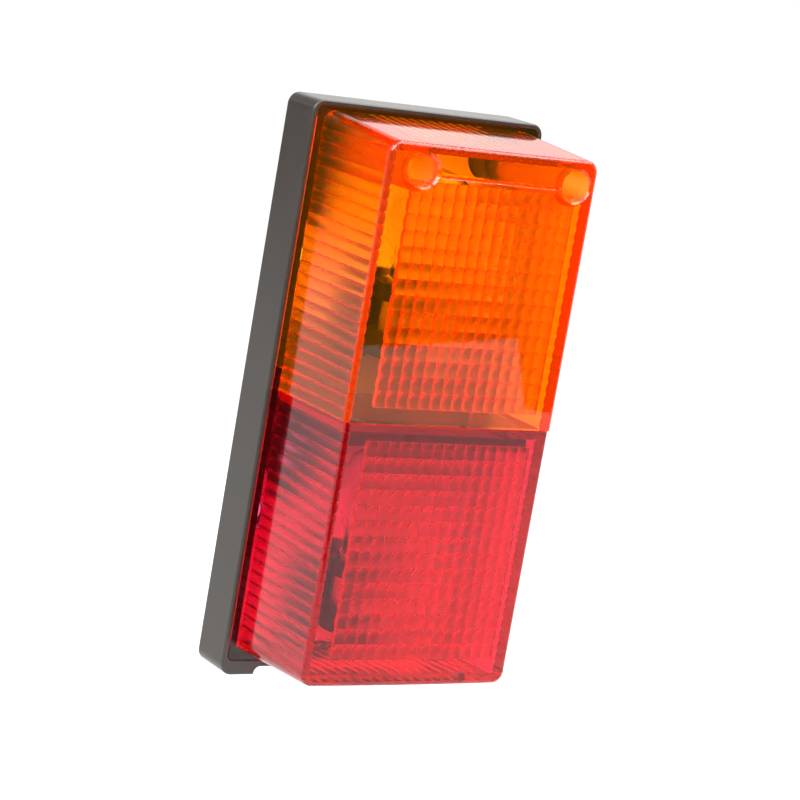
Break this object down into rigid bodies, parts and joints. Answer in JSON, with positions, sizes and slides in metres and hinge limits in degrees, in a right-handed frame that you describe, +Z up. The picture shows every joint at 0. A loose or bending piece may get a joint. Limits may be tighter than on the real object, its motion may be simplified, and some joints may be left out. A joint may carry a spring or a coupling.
{
  "type": "tail light cluster",
  "caption": "Upright rectangular rear lamp: an amber lens above a red lens with pillow optics and screw wells, on a shallow black moulded base with a cable entry.",
  "frame": {"origin": "middle of the flat back of the base, which is also the middle of the mounting holes", "axes": "+X to the right seen from the front, +Y to the rear so that the lenses face -Y, +Z up"},
  "size_m": [0.066, 0.0426, 0.141],
  "materials": {
    "black_moulding": "fine moulded grain, satin",
    "seal_rubber": "soft matt",
    "amber_acrylic": "clear tinted, polished",
    "red_acrylic": "clear tinted, polished",
    "plated_steel": "zinc plated",
    "blackened_steel": "black oxide, satin",
    "white_reflector": "smooth white",
    "fibre_bush": "turned fibre board",
    "contact_brass": "stamped strip",
    "cap_brass": "drawn, lightly plated",
    "cap_insulator": "fused black glass",
    "bulb_glass": "clear blown",
    "filament_wire": "drawn wire"
  },
  "bodies": {
    "root": {"base_housing": "black_moulding", "lens_gasket": "seal_rubber", "amber_lens": "amber_acrylic", "red_lens": "red_acrylic", "lens_screws": "plated_steel", "screw_seals": "seal_rubber", "amber_reflector": "white_reflector", "red_reflector": "white_reflector", "holder_rivets": "plated_steel", "cable_grommet": "seal_rubber", "amber_holder": "blackened_steel", "amber_contact_bush": "fibre_bush", "amber_contact": "contact_brass", "amber_bulb_cap": "cap_brass", "amber_bulb_insulator": "cap_insulator", "amber_bulb_glass": "bulb_glass", "amber_bulb_filament": "filament_wire", "red_holder": "blackened_steel", "red_contact_bush": "fibre_bush", "red_contact": "contact_brass", "red_bulb_cap": "cap_brass", "red_bulb_insulator": "cap_insulator", "red_bulb_glass": "bulb_glass", "red_bulb_filament": "filament_wire"}
  },
  "joints": []
}
